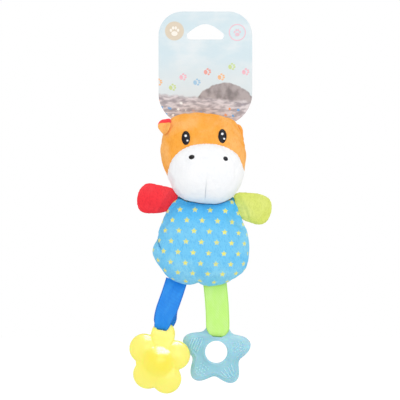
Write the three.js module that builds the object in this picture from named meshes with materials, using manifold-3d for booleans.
// A plush dog toy on its hang card: a stuffed animal with a big muzzle, two ears, two arms,
// and two ribbon legs that each carry a chewable teether, a flower and a star.
// Millimetres. +X is the right of the front view, +Z is up and the front looks towards -Y.
// The origin is the middle of the hang slot, on the card's mid-plane.

import * as THREE from "three";
import { mergeVertices } from "three/addons/utils/BufferGeometryUtils.js";
import Module from "manifold-3d";

const wasm = await Module();
wasm.setup();

// Fabric and clearances
const CLOTH = 1.4; // one layer of short plush, pile and backing
const GAP = 0.3; // clearance between pieces that touch
const STITCH = 0.8; // height of an embroidered patch
const SWELL_POWER = 2.2; // how square the swell of a filled piece is: 2 is round
const PLATE_POWER = 4; // the same for a moulded plate's edge
const FAR = 400; // longer than the whole toy, for half spaces

// Hang card
const CARD_THICK = 0.6;
const CARD_WIDTH = 94;
const CARD_TOP = 20;
const CARD_BOTTOM = -94;
const CARD_TOP_CORNER = 24;
const CARD_BOTTOM_CORNER = 32;
const SLOT_HALF_WIDTH = 18.5;
const SLOT_FLOOR = -8;
const SLOT_SHOULDER = -2.5;
const SLOT_PEAK = 7.4;
const SLOT_CORNER = 3;
const SLOT_SIDE_RISE = 3; // the sides' curve rises this far above the shoulders,
const SLOT_SIDE_LEAN = 3.7; // leans in by this much
const SLOT_PEAK_ROUND = 7.4; // and runs level this far from the peak

// Tag pins that hold the toy on the card
const PIN_SPACING = 28;
const PIN_ABOVE_CARD_EDGE = 6;
const PIN_BAR_LENGTH = 9;
const PIN_BAR_RADIUS = 0.6;
const PIN_STEM_RADIUS = 0.5;
const PIN_INSIDE = 3; // depth of the inner bar in the filling
const HEAD_SWING = 45; // degrees, chin forward

// Head, as seen from the front
const HEAD_CENTRE = [-2, -122];
const HEAD_HALF_WIDTH = 42.8;
const HEAD_ABOVE = 40.6;
const HEAD_BELOW = 44;
const HEAD_FRONT = 24;
const HEAD_BACK = 22;
const HEAD_POWER = [2.6, 2]; // how square the outline is above and below the middle

// Muzzle, which swells out of the head's front
const MUZZLE_CENTRE = [0.6, -142];
const MUZZLE_HALF_WIDTH = 38.3;
const MUZZLE_ABOVE = 29.8;
const MUZZLE_BELOW = 30.8;
const MUZZLE_FRONT = 27;

// Embroidery
const EYE_HALF = [4.1, 6.9];
const EYES = [["left", -19.5, -107.2], ["right", 16.9, -105.3]];
const GLINTS = [[0.1, 2, 1.4], [1.9, -2.7, 1.1]]; // each from the eye's middle, with its radius
const NOSTRILS = [["left", -13.6, -126.2, 3.1, 2.1, 15], ["right", 20.2, -127.7, 2.7, 2.1, -35]];

// Ears
const EAR_HALF = [9.5, 7.5];
const EAR_PUFF = 2.2;
const EAR_LINING_RISE = 2.5; // how far the lining shows above the ear's front
// Each ear's middle: how far inside the head's outline, behind the seam and above the head's middle
const LEFT_EAR = { inside: 0.9, behind: -6.5, above: 25.5 };
const RIGHT_EAR = { inside: 8.6, behind: 5, above: 18.5 };
const EAR_SWING = 35; // degrees, away from the head

// Body
const BODY_CENTRE = [-3, -212];
const BODY_LEFT = 49;
const BODY_RIGHT = 45.5;
const BODY_ABOVE = 54;
const BODY_BELOW = 42;
const BODY_TAPER = 0.2;
const BODY_FRONT = 24;
const BODY_BACK = 20;
const NECK_Z = -168;
const NECK_BEHIND_SEAM = 4;
const NECK_SWING = 20; // degrees, body backward

// Arms, sewn into the body's side seams
const ARM_LENGTH = 35.5;
const ARM_HALF_WIDTH = 15.2;
const ARM_TIP_ROUND = 17.5; // from the widest place to the tip
const ARM_ROOT_TAPER = 0.14;
const ARM_PUFF = 5;
const ARM_CLOTH = 1.1;
const ARM_SWING = 40; // degrees, both ways
const ARM_IN_SEAM = 2.8; // how far the arm's root reaches into the body's seam
const ARMS = [
  { name: "red_arm", seamAngle: 127, direction: 172, colour: 0xfc3c44 },
  { name: "green_arm", seamAngle: 47, direction: -5, colour: 0xdae573 },
];

// Squeaker in the body's filling
const BULB_RADIUS = 16;
const BULB_LENGTH = 22;
const BULB_WALL = 1.2;
const BULB_EDGE = 5;
const REED_RADIUS = 4.5;
const REED_LENGTH = 7;
const REED_BORE = 1.6;
const REED_FLANGE_REACH = 1.5;
const REED_FLANGE_THICK = 1;
const BEHIND_REED = 3; // filling between the reed and the body's back panel

// Ribbon legs
const RIBBON_THICK = 0.9;
const HEM_RADIUS = GAP / 2 + RIBBON_THICK / 2;
const RIBBON_SWING = 60; // degrees, the blue one forward and the green one backward
const BLUE_RIBBON_WIDTH = 21.6;
const GREEN_RIBBON_WIDTH = 23.4;
const BLUE_SEAM_ANGLE = -124; // where each is sewn in, round the body from +X
const GREEN_SEAM_ANGLE = -73;
const GATHER_LENGTH = 12; // the ribbon draws in over this length to pass the slot

// Teethers
const BAR_HALF = 3.2; // half the height and depth of the bar that the ribbon goes round
const BAR_LOOP = 4.8; // inner radius of the ribbon's loop round the bar
const STRAP_SLOT_HEIGHT = 3.5;
const STRAP_SLOT_WIDTH = 18.5;
const TEETHER_OFFSET = 5.5; // flower in front of the seam plane, star behind it

const FLOWER_CENTRE = [-47.1, -330];
const PETAL_RADIUS = 14.9;
// Each petal's direction in degrees and its distance from the flower's middle
const PETALS = [[137.8, 18.9], [231.2, 16.4], [295.1, 19.3], [19.4, 18]];
const FLOWER_WEB = 22.5; // radius of the disc that the petals grow out of
const FLOWER_TURN = 80;
const FLOWER_HALF_THICK = 5;
const FLOWER_LUG_REACH = 40;
const LUG_HALF_WIDTH = 12;
const LUG_POWER = [2.5, 12]; // how square the lug is at its top and at its foot
const DOME_RADIUS = 10.5;
const DOME_RISE = 2.2;

const STAR_CENTRE = [10.8, -321];
const STAR_MEAN = 30;
const STAR_WAVE = 5.4;
const STAR_ARMS = 5;
const STAR_TURN = 86;
const STAR_HALF_THICK = 4.2;
const STAR_LUG_REACH = 24;
const STAR_HOLE = 11.1;
const STAR_RIM = 1.4; // radius of the bead round the hole

// Mesh fineness
const HEAD_SIDES = 36;
const HEAD_RINGS = 5;
const BODY_SIDES = 32;
const BODY_RINGS = 4;
const ARM_SIDES = 20;
const ARM_RINGS = 3;
const EAR_SIDES = 16;
const EAR_RINGS = 2;
const TEETHER_SIDES = 60;
const TEETHER_RINGS = 3;
const ROUND_SIDES = 24; // sides of a turned piece
const ROD_SIDES = 8;

const radians = THREE.MathUtils.degToRad;
const toy = new THREE.Group();

// Joining and cutting

function solidOf(geometry) {
  const bare = geometry.clone();
  bare.deleteAttribute("normal");
  bare.deleteAttribute("uv");
  const welded = mergeVertices(bare, 1e-4);
  return new wasm.Manifold(
    new wasm.Mesh({
      numProp: 3,
      vertProperties: new Float32Array(welded.attributes.position.array),
      triVerts: new Uint32Array(welded.index.array),
    }),
  );
}

function geometryOf(solid) {
  const mesh = solid.getMesh();
  const geometry = new THREE.BufferGeometry();
  geometry.setAttribute("position", new THREE.BufferAttribute(mesh.vertProperties, 3));
  geometry.setIndex(new THREE.BufferAttribute(mesh.triVerts, 1));
  geometry.computeVertexNormals();
  return geometry;
}

function addPiece(name, solid, colour, roughness = 0.95) {
  const material = new THREE.MeshStandardMaterial({ color: colour, roughness, metalness: 0 });
  const mesh = new THREE.Mesh(geometryOf(solid), material);
  mesh.name = name;
  toy.add(mesh);
}

// Everything with Y above or below a plane
function halfSpace(y, side) {
  const box = new THREE.BoxGeometry(2 * FAR, 2 * FAR, 2 * FAR);
  box.translate(0, y + side * FAR, CARD_BOTTOM);
  return solidOf(box);
}

function turnedAbout(solid, pivot, axis, degrees) {
  const matrix = new THREE.Matrix4()
    .makeTranslation(pivot)
    .multiply(new THREE.Matrix4().makeRotationAxis(axis, radians(degrees)))
    .multiply(new THREE.Matrix4().makeTranslation(pivot.clone().negate()));
  return solid.transform(matrix.elements);
}

// Clears a moving solid of an obstacle at rest, at both ends of its swing and between them
function clearOf(solid, obstacle, hinge) {
  const steps = 4;
  let left = solid.subtract(obstacle);
  for (let step = 0; step <= steps; step += 1) {
    const degrees = THREE.MathUtils.lerp(hinge.from, hinge.to, step / steps);
    left = left.subtract(turnedAbout(obstacle, hinge.pivot, hinge.axis, -degrees));
  }
  return left;
}

// Outlines in the XZ plane, as a radius for each direction from a centre

// An egg: its long axis points in one direction, and its width narrows along it
function egg({ centre, turn, ahead, behind, left, right, power, taper = 0 }) {
  const points = [];
  const count = 180;
  for (let i = 0; i < count; i += 1) {
    const angle = (i / count) * 2 * Math.PI;
    const forward = Math.cos(angle) >= 0;
    const exponent = 2 / (forward ? power[0] : power[1]);
    const along = (forward ? ahead : -behind) * Math.abs(Math.cos(angle)) ** exponent;
    const side = Math.sin(angle) >= 0 ? left : -right;
    const across = side * Math.abs(Math.sin(angle)) ** exponent * (1 - (taper * along) / ahead);
    const c = Math.cos(radians(turn));
    const s = Math.sin(radians(turn));
    points.push([centre[0] + along * c - across * s, centre[1] + along * s + across * c]);
  }
  return points;
}

// The radius of a closed outline as a function of the direction from a centre
function polar(points, centre) {
  const rays = points.map(([x, z]) => {
    const dx = x - centre[0];
    const dz = z - centre[1];
    return { angle: Math.atan2(dz, dx), radius: Math.hypot(dx, dz) };
  });
  rays.sort((a, b) => a.angle - b.angle);
  const first = rays[0];
  const last = rays[rays.length - 1];
  rays.push({ angle: first.angle + 2 * Math.PI, radius: first.radius });
  rays.unshift({ angle: last.angle - 2 * Math.PI, radius: last.radius });
  return (angle) => {
    const wrapped = Math.atan2(Math.sin(angle), Math.cos(angle));
    const next = rays.findIndex((ray, i) => i > 0 && ray.angle >= wrapped);
    const a = rays[next - 1];
    const b = rays[next];
    return THREE.MathUtils.lerp(a.radius, b.radius, (wrapped - a.angle) / (b.angle - a.angle));
  };
}

// How far a point lies from the centre, as a share of the outline's radius there
function shareOf(radius, centre, x, z) {
  const dx = x - centre[0];
  const dz = z - centre[1];
  return Math.min(1, Math.hypot(dx, dz) / radius(Math.atan2(dz, dx)));
}

function crown(share, height, power) {
  return height * (1 - share ** power) ** (1 / power);
}

// A closed form swelled from an outline at the seam plane: its rings draw in towards the
// centre while their depth grows. front and back give the depth at (x, z, share).
function swelled({ centre, radius, seamY, front, back, sides, rings, power = SWELL_POWER }) {
  const positions = [];
  const index = [];
  const ring = (share, depth) => {
    const start = positions.length / 3;
    for (let i = 0; i < sides; i += 1) {
      const angle = (i / sides) * 2 * Math.PI;
      const r = radius(angle) * share;
      const x = centre[0] + r * Math.cos(angle);
      const z = centre[1] + r * Math.sin(angle);
      positions.push(x, seamY + depth(x, z, share), z);
    }
    return start;
  };
  const rim = ring(1, () => 0);
  for (const side of [-1, 1]) {
    const height = side < 0 ? front : back;
    const depth = (x, z, share) => side * height(x, z, share);
    let outer = rim;
    for (let k = 1; k < rings; k += 1) {
      const share = Math.cos(((k / rings) * Math.PI) / 2) ** (2 / power);
      const inner = ring(share, depth);
      for (let i = 0; i < sides; i += 1) {
        const j = (i + 1) % sides;
        const quad = [outer + i, outer + j, inner + j, inner + i];
        if (side > 0) quad.reverse();
        index.push(quad[0], quad[1], quad[2], quad[0], quad[2], quad[3]);
      }
      outer = inner;
    }
    const pole = positions.length / 3;
    positions.push(centre[0], seamY + depth(centre[0], centre[1], 0), centre[1]);
    for (let i = 0; i < sides; i += 1) {
      const j = (i + 1) % sides;
      index.push(...(side < 0 ? [outer + i, outer + j, pole] : [outer + j, outer + i, pole]));
    }
  }
  const geometry = new THREE.BufferGeometry();
  geometry.setAttribute("position", new THREE.Float32BufferAttribute(positions, 3));
  geometry.setIndex(index);
  return geometry;
}

// The same form, grown or shrunk along its normals
function offset(geometry, distance) {
  const moved = geometry.clone();
  moved.computeVertexNormals();
  const { position, normal } = moved.attributes;
  for (let i = 0; i < position.count; i += 1) {
    position.setXYZ(
      i,
      position.getX(i) + normal.getX(i) * distance,
      position.getY(i) + normal.getY(i) * distance,
      position.getZ(i) + normal.getZ(i) * distance,
    );
  }
  moved.deleteAttribute("normal");
  return moved;
}

// A straight-sided block between two depths, from points in the XZ plane
function prism(points, frontY, backY, holes = []) {
  const shape = new THREE.Shape(points.map(([x, z]) => new THREE.Vector2(x, z)));
  for (const hole of holes) {
    shape.holes.push(new THREE.Path(hole.map(([x, z]) => new THREE.Vector2(x, z))));
  }
  const depth = backY - frontY;
  const block = new THREE.ExtrudeGeometry(shape, { depth, bevelEnabled: false });
  block.rotateX(Math.PI / 2);
  block.translate(0, backY, 0);
  return solidOf(block);
}

function ovalPoints(x, z, halfWidth, halfHeight, tilt = 0, count = 20) {
  return Array.from({ length: count }, (_, i) => {
    const angle = (i / count) * 2 * Math.PI;
    const u = halfWidth * Math.cos(angle);
    const v = halfHeight * Math.sin(angle);
    const c = Math.cos(radians(tilt));
    const s = Math.sin(radians(tilt));
    return [x + u * c - v * s, z + u * s + v * c];
  });
}

// Head and muzzle: one swelled form whose front adds the muzzle's swell to the head's

const headOutline = egg({
  centre: HEAD_CENTRE,
  turn: 90,
  ahead: HEAD_ABOVE,
  behind: HEAD_BELOW,
  left: HEAD_HALF_WIDTH,
  right: HEAD_HALF_WIDTH,
  power: HEAD_POWER,
});
const muzzleOutline = egg({
  centre: MUZZLE_CENTRE,
  turn: 90,
  ahead: MUZZLE_ABOVE,
  behind: MUZZLE_BELOW,
  left: MUZZLE_HALF_WIDTH,
  right: MUZZLE_HALF_WIDTH,
  power: [2.1, 2.3],
});
const faceCentre = [
  (HEAD_CENTRE[0] + MUZZLE_CENTRE[0]) / 2,
  (HEAD_CENTRE[1] + MUZZLE_CENTRE[1]) / 2,
];
const headRadius = polar(headOutline, faceCentre);
const muzzleRadius = polar(muzzleOutline, faceCentre);
const faceRadius = (angle) => Math.max(headRadius(angle), muzzleRadius(angle));

function faceFront(x, z) {
  const head = crown(shareOf(headRadius, faceCentre, x, z), HEAD_FRONT, SWELL_POWER);
  const muzzle = crown(shareOf(muzzleRadius, faceCentre, x, z), MUZZLE_FRONT, SWELL_POWER);
  return Math.hypot(head, muzzle);
}

function faceBack(x, z) {
  return crown(shareOf(faceRadius, faceCentre, x, z), HEAD_BACK, SWELL_POWER);
}

// The head's back rests against the lower edge of the card
const seamY = -(CARD_THICK / 2 + GAP + faceBack(faceCentre[0], CARD_BOTTOM));
const pinZ = CARD_BOTTOM + PIN_ABOVE_CARD_EDGE;

const headForm = swelled({
  centre: faceCentre,
  radius: faceRadius,
  seamY,
  front: faceFront,
  back: faceBack,
  sides: HEAD_SIDES,
  rings: HEAD_RINGS,
});

// Tag pins: a bar behind the card, a stem through it and a bar inside the head's back
const barY = CARD_THICK / 2 + GAP + PIN_BAR_RADIUS;
const innerBarY = seamY + faceBack(0, pinZ) - CLOTH - PIN_INSIDE;

function pinSolid(x, extra) {
  const bar = (y) => {
    const rod = new THREE.CylinderGeometry(
      PIN_BAR_RADIUS + extra,
      PIN_BAR_RADIUS + extra,
      PIN_BAR_LENGTH + 2 * extra,
      ROD_SIDES,
    );
    rod.rotateZ(Math.PI / 2);
    rod.translate(x, y, pinZ);
    return solidOf(rod);
  };
  const stem = new THREE.CylinderGeometry(
    PIN_STEM_RADIUS + extra,
    PIN_STEM_RADIUS + extra,
    barY - innerBarY,
    ROD_SIDES,
  );
  stem.translate(x, (barY + innerBarY) / 2, pinZ);
  return solidOf(stem).add(bar(barY)).add(bar(innerBarY));
}

const pinPlaces = [["left", -PIN_SPACING / 2], ["right", PIN_SPACING / 2]];

// Card, with the hang slot and a slit for each pin's stem to tip in
{
  const half = CARD_WIDTH / 2;
  const outline = new THREE.Shape();
  outline.moveTo(-half, CARD_BOTTOM + CARD_BOTTOM_CORNER);
  outline.absarc(
    -half + CARD_BOTTOM_CORNER, CARD_BOTTOM + CARD_BOTTOM_CORNER,
    CARD_BOTTOM_CORNER, Math.PI, 1.5 * Math.PI,
  );
  outline.absarc(
    half - CARD_BOTTOM_CORNER, CARD_BOTTOM + CARD_BOTTOM_CORNER,
    CARD_BOTTOM_CORNER, 1.5 * Math.PI, 2 * Math.PI,
  );
  outline.absarc(
    half - CARD_TOP_CORNER, CARD_TOP - CARD_TOP_CORNER, CARD_TOP_CORNER, 0, Math.PI / 2,
  );
  outline.absarc(
    -half + CARD_TOP_CORNER, CARD_TOP - CARD_TOP_CORNER, CARD_TOP_CORNER, Math.PI / 2, Math.PI,
  );
  const slot = new THREE.Path();
  slot.moveTo(-SLOT_HALF_WIDTH + SLOT_CORNER, SLOT_FLOOR);
  slot.lineTo(SLOT_HALF_WIDTH - SLOT_CORNER, SLOT_FLOOR);
  slot.quadraticCurveTo(SLOT_HALF_WIDTH, SLOT_FLOOR, SLOT_HALF_WIDTH, SLOT_SHOULDER);
  const leanX = SLOT_HALF_WIDTH - SLOT_SIDE_LEAN;
  const leanZ = SLOT_SHOULDER + SLOT_SIDE_RISE;
  slot.bezierCurveTo(leanX, leanZ, SLOT_PEAK_ROUND, SLOT_PEAK, 0, SLOT_PEAK);
  slot.bezierCurveTo(
    -SLOT_PEAK_ROUND, SLOT_PEAK, -leanX, leanZ, -SLOT_HALF_WIDTH, SLOT_SHOULDER,
  );
  slot.quadraticCurveTo(
    -SLOT_HALF_WIDTH, SLOT_FLOOR, -SLOT_HALF_WIDTH + SLOT_CORNER, SLOT_FLOOR,
  );
  outline.holes.push(slot);
  const sheet = new THREE.ExtrudeGeometry(outline, {
    depth: CARD_THICK,
    bevelEnabled: false,
    curveSegments: 8,
  });
  sheet.rotateX(Math.PI / 2);
  sheet.translate(0, CARD_THICK / 2, 0);
  let card = solidOf(sheet);
  // The stem tips upward through the slit as the toy swings out from the card
  const slitHalfWidth = PIN_STEM_RADIUS + GAP;
  const slitTop = (barY + CARD_THICK / 2) * Math.tan(radians(HEAD_SWING)) + 2 * slitHalfWidth;
  for (const [, x] of pinPlaces) {
    const slit = new THREE.BoxGeometry(
      2 * slitHalfWidth,
      2 * CARD_THICK,
      slitTop + slitHalfWidth,
    );
    slit.translate(x, 0, pinZ + (slitTop - slitHalfWidth) / 2);
    card = card.subtract(solidOf(slit));
  }
  addPiece("hang_card", card, 0xdeeef4, 0.35);
}

for (const [side, x] of pinPlaces) {
  addPiece(`tag_pin_${side}`, pinSolid(x, 0), 0xf2f2ee, 0.4);
}

// Head covers and filling
const headSolid = solidOf(headForm);
const headGrown = solidOf(offset(headForm, GAP));
const headShell = headSolid.subtract(solidOf(offset(headForm, -CLOTH)));
const beforeSeam = halfSpace(seamY - GAP / 2, -1);
const behindSeam = halfSpace(seamY + GAP / 2, 1);

{
  const frontDepth = seamY - FAR / 2;
  const clearance = GAP / 2 / MUZZLE_ABOVE;
  const muzzleBlock = (share) => {
    const points = muzzleOutline.filter((_, i) => i % 4 === 0).map(([x, z]) => [
      MUZZLE_CENTRE[0] + (x - MUZZLE_CENTRE[0]) * share,
      MUZZLE_CENTRE[1] + (z - MUZZLE_CENTRE[1]) * share,
    ]);
    return prism(points, frontDepth, seamY);
  };
  const pins = pinPlaces.map(([, x]) => pinSolid(x, GAP));
  const frontShell = headShell.intersect(beforeSeam);
  let backShell = headShell.intersect(behindSeam);
  let filling = solidOf(offset(headForm, -CLOTH - GAP));
  for (const pin of pins) {
    backShell = backShell.subtract(pin);
    filling = filling.subtract(pin);
  }
  addPiece("forehead_panel", frontShell.subtract(muzzleBlock(1 + clearance)), 0xffb246);
  addPiece("head_back_panel", backShell, 0xffa43a);
  addPiece("head_filling", filling, 0xfafaf8);
  const muzzle = frontShell.intersect(muzzleBlock(1 - clearance));
  for (const [name, side] of [["muzzle_left_panel", -1], ["muzzle_right_panel", 1]]) {
    const half = new THREE.BoxGeometry(FAR, FAR, FAR);
    half.translate(MUZZLE_CENTRE[0] + side * (GAP / 2 + FAR / 2), seamY, MUZZLE_CENTRE[1]);
    addPiece(name, muzzle.intersect(solidOf(half)), 0xf5f6f8);
  }
}

// Embroidered patches, which follow the face's surface
{
  const patch = (points, lift) => {
    const block = prism(points, seamY - FAR / 2, seamY - HEAD_FRONT / 3);
    const layer = solidOf(offset(headForm, lift + STITCH)).subtract(solidOf(offset(headForm, lift)));
    return layer.intersect(block);
  };
  for (const [side, x, z] of EYES) {
    addPiece(`${side}_eye`, patch(ovalPoints(x, z, ...EYE_HALF), GAP), 0x1f1518, 0.5);
    GLINTS.forEach(([dx, dz, radius], i) => {
      const points = ovalPoints(x + dx, z + dz, radius, radius, 0, 10);
      const place = ["upper", "lower"][i];
      addPiece(`${side}_eye_${place}_glint`, patch(points, 2 * GAP + STITCH), 0xffffff, 0.6);
    });
  }
  for (const [side, x, z, halfWidth, halfHeight, tilt] of NOSTRILS) {
    const points = ovalPoints(x, z, halfWidth, halfHeight, tilt, 14);
    addPiece(`${side}_nostril`, patch(points, GAP), 0x2d3034, 0.6);
  }
}

// Ears: a padded orange face and a red lining behind it
{
  const ears = [
    { side: "left", place: LEFT_EAR, turn: 160, inward: 1 },
    { side: "right", place: RIGHT_EAR, turn: 10, inward: -1 },
  ];
  // The head's half width at a height above its middle
  const halfWidthAt = (height) => {
    return HEAD_HALF_WIDTH * (1 - (height / HEAD_ABOVE) ** HEAD_POWER[0]) ** (1 / HEAD_POWER[0]);
  };
  for (const { side, place, turn, inward } of ears) {
    const middle = seamY + place.behind;
    const earX = HEAD_CENTRE[0] - inward * (halfWidthAt(place.above) - place.inside);
    const earZ = HEAD_CENTRE[1] + place.above;
    const hinge = {
      pivot: new THREE.Vector3(earX + inward * EAR_HALF[0], middle, earZ),
      axis: new THREE.Vector3(0, 0, 1),
      from: 0,
      to: EAR_SWING,
    };
    const layer = (z) => {
      const centre = [earX, z];
      const outline = egg({
        centre,
        turn,
        ahead: EAR_HALF[0],
        behind: EAR_HALF[0],
        left: EAR_HALF[1],
        right: EAR_HALF[1],
        power: [2.2, 2.2],
      });
      return solidOf(
        swelled({
          centre,
          radius: polar(outline, centre),
          seamY: middle,
          front: (_x, _z, share) => crown(share, EAR_PUFF, SWELL_POWER),
          back: (_x, _z, share) => crown(share, EAR_PUFF, SWELL_POWER),
          sides: EAR_SIDES,
          rings: EAR_RINGS,
        }),
      );
    };
    const front = layer(earZ).intersect(halfSpace(middle - GAP / 2, -1));
    const lining = layer(earZ + EAR_LINING_RISE).intersect(halfSpace(middle + GAP / 2, 1));
    addPiece(`${side}_ear_front`, clearOf(front, headGrown, hinge), 0xffab3c);
    addPiece(`${side}_ear_lining`, clearOf(lining, headGrown, hinge), 0xfb4a45);
  }
}

// Body: two panels sewn at the sides, filled, cut where the chin and head press on it
const bodyOutline = egg({
  centre: BODY_CENTRE,
  turn: 90,
  ahead: BODY_ABOVE,
  behind: BODY_BELOW,
  left: BODY_LEFT,
  right: BODY_RIGHT,
  power: [2.4, 2.4],
  taper: BODY_TAPER,
});
const bodyRadius = polar(bodyOutline, BODY_CENTRE);
const bodyForm = swelled({
  centre: BODY_CENTRE,
  radius: bodyRadius,
  seamY,
  front: (_x, _z, share) => crown(share, BODY_FRONT, SWELL_POWER),
  back: (_x, _z, share) => crown(share, BODY_BACK, SWELL_POWER),
  sides: BODY_SIDES,
  rings: BODY_RINGS,
});
const bodyGrown = solidOf(offset(bodyForm, GAP));
const neck = {
  pivot: new THREE.Vector3(0, seamY + NECK_BEHIND_SEAM, NECK_Z),
  axis: new THREE.Vector3(1, 0, 0),
  from: 0,
  to: NECK_SWING,
};
// The squeaker's front: its reed ends a little inside the back panel
const squeakerY =
  seamY + BODY_BACK - CLOTH - BEHIND_REED - REED_FLANGE_THICK - GAP - BULB_LENGTH;

{
  const shell = solidOf(bodyForm).subtract(solidOf(offset(bodyForm, -CLOTH)));
  const pocket = new THREE.CylinderGeometry(BULB_RADIUS + GAP, BULB_RADIUS + GAP, FAR, ROUND_SIDES);
  pocket.translate(BODY_CENTRE[0], squeakerY - GAP + FAR / 2, BODY_CENTRE[1]);
  const filling = solidOf(offset(bodyForm, -CLOTH - GAP)).subtract(solidOf(pocket));
  addPiece("body_front_panel", clearOf(shell.intersect(beforeSeam), headGrown, neck), 0x40b2f5);
  addPiece("body_back_panel", clearOf(shell.intersect(behindSeam), headGrown, neck), 0x3aa6ea);
  addPiece("body_filling", clearOf(filling, headGrown, neck), 0xfafaf8);
}

// Squeaker: a soft bulb with its mouth to the back and a reed plug in the mouth
{
  const mouth = REED_RADIUS + GAP;
  const outer = [
    [0, 0], [BULB_RADIUS - BULB_EDGE, 0], [BULB_RADIUS, BULB_EDGE],
    [BULB_RADIUS, BULB_LENGTH - BULB_EDGE], [BULB_RADIUS - BULB_EDGE, BULB_LENGTH],
    [mouth, BULB_LENGTH],
  ];
  const inner = [
    [mouth, BULB_LENGTH - BULB_WALL], [BULB_RADIUS - BULB_EDGE, BULB_LENGTH - BULB_WALL],
    [BULB_RADIUS - BULB_WALL, BULB_LENGTH - BULB_EDGE], [BULB_RADIUS - BULB_WALL, BULB_EDGE],
    [BULB_RADIUS - BULB_EDGE, BULB_WALL], [0, BULB_WALL],
  ];
  const lathe = (profile) => {
    const points = profile.map(([r, y]) => new THREE.Vector2(r, y));
    const shape = new THREE.LatheGeometry(points, ROUND_SIDES);
    shape.translate(BODY_CENTRE[0], squeakerY, BODY_CENTRE[1]);
    return solidOf(shape);
  };
  addPiece("squeaker_bulb", lathe([...outer, ...inner]), 0xf4f4f0, 0.5);
  const reedBase = BULB_LENGTH - REED_LENGTH;
  const flange = REED_RADIUS + REED_FLANGE_REACH;
  const flangeBase = BULB_LENGTH + GAP;
  const flangeTop = flangeBase + REED_FLANGE_THICK;
  addPiece("squeaker_reed", lathe([
    [REED_BORE, reedBase], [REED_RADIUS, reedBase], [REED_RADIUS, flangeBase],
    [flange, flangeBase], [flange, flangeTop], [REED_BORE, flangeTop],
    [REED_BORE, reedBase],
  ]), 0xdedede, 0.4);
}

// Arms, sewn into the side seams: front and back layers over a thin filling

function seamPlace(degrees) {
  const at = (angle) => {
    const r = bodyRadius(angle);
    const [x, z] = BODY_CENTRE;
    return new THREE.Vector3(x + r * Math.cos(angle), seamY, z + r * Math.sin(angle));
  };
  const angle = radians(degrees);
  const aside = radians(3);
  const along = at(angle + aside).sub(at(angle - aside)).normalize();
  return { point: at(angle), along };
}

for (const { name, seamAngle, direction, colour } of ARMS) {
  const { point, along } = seamPlace(seamAngle);
  const reach = ARM_LENGTH - ARM_TIP_ROUND;
  const heading = radians(direction);
  const centre = [point.x + reach * Math.cos(heading), point.z + reach * Math.sin(heading)];
  const outline = egg({
    centre,
    turn: direction,
    ahead: ARM_TIP_ROUND,
    behind: reach + ARM_IN_SEAM,
    left: ARM_HALF_WIDTH,
    right: ARM_HALF_WIDTH,
    power: [2.7, 3.4],
    taper: -ARM_ROOT_TAPER,
  });
  const form = swelled({
    centre,
    radius: polar(outline, centre),
    seamY,
    front: (_x, _z, share) => crown(share, ARM_PUFF, SWELL_POWER),
    back: (_x, _z, share) => crown(share, ARM_PUFF, SWELL_POWER),
    sides: ARM_SIDES,
    rings: ARM_RINGS,
  });
  const hinge = { pivot: point, axis: along, from: -ARM_SWING, to: ARM_SWING };
  const free = (solid) => {
    let left = clearOf(solid, bodyGrown, hinge);
    for (const bend of [0, NECK_SWING]) {
      left = clearOf(left, turnedAbout(headGrown, neck.pivot, neck.axis, -bend), hinge);
    }
    return left;
  };
  const shell = solidOf(form).subtract(solidOf(offset(form, -ARM_CLOTH)));
  addPiece(`${name}_front`, free(shell.intersect(beforeSeam)), colour);
  addPiece(`${name}_back`, free(shell.intersect(behindSeam)), colour);
  addPiece(`${name}_filling`, free(solidOf(offset(form, -ARM_CLOTH - GAP))), 0xfafaf8);
}

// Teethers: a rounded plate whose top arm is a lug with a slot for the ribbon

function teether({ centre, radius, turn, halfThick, lugReach, middleY }) {
  const up = [Math.cos(radians(turn)), Math.sin(radians(turn))];
  const slotTop = lugReach - 2 * BAR_HALF;
  // The plate thins before the slot, so that the ribbon's loop clears it
  const slotFloor = slotTop - STRAP_SLOT_HEIGHT;
  const thinFrom = slotFloor - 2 * STRAP_SLOT_HEIGHT;
  const thinTo = slotFloor - STRAP_SLOT_HEIGHT;
  const depth = (x, z, share) => {
    const along = (x - centre[0]) * up[0] + (z - centre[1]) * up[1];
    const full = crown(share, halfThick, PLATE_POWER);
    const thinning = THREE.MathUtils.smoothstep(along, thinFrom, thinTo);
    return THREE.MathUtils.lerp(full, Math.min(full, BAR_HALF), thinning);
  };
  const plate = swelled({
    centre,
    radius,
    seamY: middleY,
    front: depth,
    back: depth,
    sides: TEETHER_SIDES,
    rings: TEETHER_RINGS,
    power: PLATE_POWER,
  });
  const slot = new THREE.BoxGeometry(STRAP_SLOT_WIDTH, FAR, STRAP_SLOT_HEIGHT);
  slot.translate(0, 0, slotTop - STRAP_SLOT_HEIGHT / 2);
  slot.rotateY(-radians(turn - 90));
  slot.translate(centre[0], middleY, centre[1]);
  const barDistance = lugReach - BAR_HALF;
  return {
    solid: solidOf(plate).subtract(solidOf(slot)),
    bar: new THREE.Vector3(
      centre[0] + up[0] * barDistance, middleY, centre[1] + up[1] * barDistance,
    ),
    up,
  };
}

// The flower's lug is an arch that reaches in past the flower's middle
const archDistance = FLOWER_LUG_REACH - LUG_HALF_WIDTH;
const archRadius = polar(
  egg({
    centre: [
      FLOWER_CENTRE[0] + archDistance * Math.cos(radians(FLOWER_TURN)),
      FLOWER_CENTRE[1] + archDistance * Math.sin(radians(FLOWER_TURN)),
    ],
    turn: FLOWER_TURN,
    ahead: LUG_HALF_WIDTH,
    behind: FLOWER_LUG_REACH,
    left: LUG_HALF_WIDTH,
    right: LUG_HALF_WIDTH,
    power: LUG_POWER,
  }),
  FLOWER_CENTRE,
);

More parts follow.
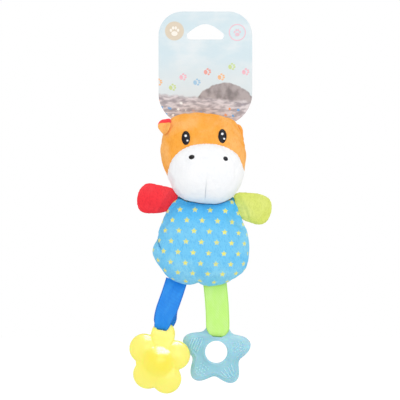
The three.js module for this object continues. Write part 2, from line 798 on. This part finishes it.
function petalRadius(angle) {
  let reach = Math.max(FLOWER_WEB, archRadius(angle));
  for (const [direction, distance] of PETALS) {
    const off = angle - radians(direction);
    const side = distance * Math.sin(off);
    if (Math.abs(side) < PETAL_RADIUS && Math.cos(off) > 0) {
      reach = Math.max(reach, distance * Math.cos(off) + Math.sqrt(PETAL_RADIUS ** 2 - side ** 2));
    }
  }
  return reach;
}

function starRadius(angle) {
  const off = angle - radians(STAR_TURN);
  const wave = STAR_MEAN + STAR_WAVE * Math.cos(STAR_ARMS * off);
  return Math.cos(off) > 0 ? Math.min(wave, STAR_LUG_REACH / Math.cos(off)) : wave;
}

const flower = teether({
  centre: FLOWER_CENTRE,
  radius: petalRadius,
  turn: FLOWER_TURN,
  halfThick: FLOWER_HALF_THICK,
  lugReach: FLOWER_LUG_REACH,
  middleY: seamY - TEETHER_OFFSET,
});
const star = teether({
  centre: STAR_CENTRE,
  radius: starRadius,
  turn: STAR_TURN,
  halfThick: STAR_HALF_THICK,
  lugReach: STAR_LUG_REACH,
  middleY: seamY + TEETHER_OFFSET,
});

{
  // A low dome in the middle of each face
  const dome = new THREE.SphereGeometry(DOME_RADIUS, ROUND_SIDES, 12);
  dome.scale(1, (FLOWER_HALF_THICK + DOME_RISE) / DOME_RADIUS, 1);
  dome.translate(FLOWER_CENTRE[0], seamY - TEETHER_OFFSET, FLOWER_CENTRE[1]);
  addPiece("flower_teether", flower.solid.add(solidOf(dome)), 0xfff769, 0.25);
}

{
  const middleY = seamY + TEETHER_OFFSET;
  const bore = new THREE.CylinderGeometry(STAR_HOLE, STAR_HOLE, FAR, ROUND_SIDES);
  bore.translate(STAR_CENTRE[0], middleY, STAR_CENTRE[1]);
  let solid = star.solid;
  for (const side of [-1, 1]) {
    const bead = new THREE.TorusGeometry(STAR_HOLE + STAR_RIM, STAR_RIM, 6, ROUND_SIDES);
    bead.rotateX(Math.PI / 2);
    bead.translate(STAR_CENTRE[0], middleY + side * (STAR_HALF_THICK - STAR_RIM / 2), STAR_CENTRE[1]);
    solid = solid.add(solidOf(bead));
  }
  addPiece("star_teether", solid.subtract(solidOf(bore)), 0xa0d4e2, 0.3);
}

// Ribbon legs: one ribbon folded in a loop, sewn at the body's lower seam, round the bar

function ribbonLeg({ name, seamAngle, width, held, swing, colour }) {
  const { point, along } = seamPlace(seamAngle);
  const outward = new THREE.Vector3(along.z, 0, -along.x);
  const hemOuter = HEM_RADIUS + RIBBON_THICK / 2;
  const top = point.clone().addScaledVector(outward, hemOuter + GAP);
  const down = new THREE.Vector3(-held.up[0], 0, -held.up[1]);
  const bar = held.bar.clone().setY(seamY);
  const length = top.distanceTo(bar);
  const path = new THREE.CubicBezierCurve3(
    top,
    top.clone().addScaledVector(outward, length / 3),
    bar.clone().addScaledVector(down, -length / 3),
    bar,
  );
  const loop = BAR_LOOP + RIBBON_THICK / 2;
  const slotHalf = STRAP_SLOT_WIDTH / 2 - GAP;
  const topAcross = along.clone();
  const barAcross = new THREE.Vector3(-down.z, 0, down.x);
  const lift = held.bar.y - seamY;

  // One cross-section of the ribbon: u runs down the leg, y is its depth from the seam plane
  const station = (u, y) => {
    const t = THREE.MathUtils.clamp(u / length, 0, 1);
    const centre = path.getPoint(t);
    if (u < 0) centre.addScaledVector(outward, u);
    if (u > length) centre.addScaledVector(down, u - length);
    centre.y = seamY + y;
    const gather = THREE.MathUtils.smoothstep(u, length - GATHER_LENGTH, length - loop / 2);
    const across = topAcross.clone().lerp(barAcross, t).normalize();
    return { centre, across, half: THREE.MathUtils.lerp(width / 2, slotHalf, gather) };
  };
  const stations = [];
  const turnSteps = 4;
  for (let i = 0; i < turnSteps; i += 1) {
    const angle = (i / turnSteps) * Math.PI;
    stations.push(station(-HEM_RADIUS * Math.sin(angle), HEM_RADIUS * Math.cos(angle)));
  }
  const runSteps = 8;
  const runs = (fromY, toY, i) => {
    const t = i / runSteps;
    return station(t * length, THREE.MathUtils.lerp(fromY, toY, THREE.MathUtils.smoothstep(t, 0, 1)));
  };
  for (let i = 0; i < runSteps; i += 1) stations.push(runs(-HEM_RADIUS, lift - loop, i));
  const loopSteps = 8;
  for (let i = 0; i < loopSteps; i += 1) {
    const angle = (i / loopSteps) * Math.PI;
    stations.push(station(length + loop * Math.sin(angle), lift - loop * Math.cos(angle)));
  }
  for (let i = runSteps; i > 0; i -= 1) stations.push(runs(HEM_RADIUS, lift + loop, i));

  const positions = [];
  const index = [];
  stations.forEach(({ centre, across, half }, i) => {
    const before = stations[(i + stations.length - 1) % stations.length].centre;
    const after = stations[(i + 1) % stations.length].centre;
    const tangent = after.clone().sub(before).normalize();
    const normal = new THREE.Vector3().crossVectors(tangent, across).normalize();
    for (const [a, b] of [[-1, -1], [1, -1], [1, 1], [-1, 1]]) {
      const corner = centre.clone()
        .addScaledVector(across, a * half)
        .addScaledVector(normal, (b * RIBBON_THICK) / 2);
      positions.push(corner.x, corner.y, corner.z);
    }
    const start = 4 * i;
    const next = 4 * ((i + 1) % stations.length);
    for (let k = 0; k < 4; k += 1) {
      const j = (k + 1) % 4;
      index.push(start + k, start + j, next + j, start + k, next + j, next + k);
    }
  });
  const geometry = new THREE.BufferGeometry();
  geometry.setAttribute("position", new THREE.Float32BufferAttribute(positions, 3));
  geometry.setIndex(index);
  const hinge = { pivot: point, axis: along, ...swing };
  addPiece(name, clearOf(solidOf(geometry), bodyGrown, hinge), colour, 0.6);
}

ribbonLeg({
  name: "blue_ribbon",
  seamAngle: BLUE_SEAM_ANGLE,
  width: BLUE_RIBBON_WIDTH,
  held: flower,
  swing: { from: 0, to: -RIBBON_SWING },
  colour: 0x2d91f0,
});
ribbonLeg({
  name: "green_ribbon",
  seamAngle: GREEN_SEAM_ANGLE,
  width: GREEN_RIBBON_WIDTH,
  held: star,
  swing: { from: 0, to: RIBBON_SWING },
  colour: 0xbef582,
});

export default toy;
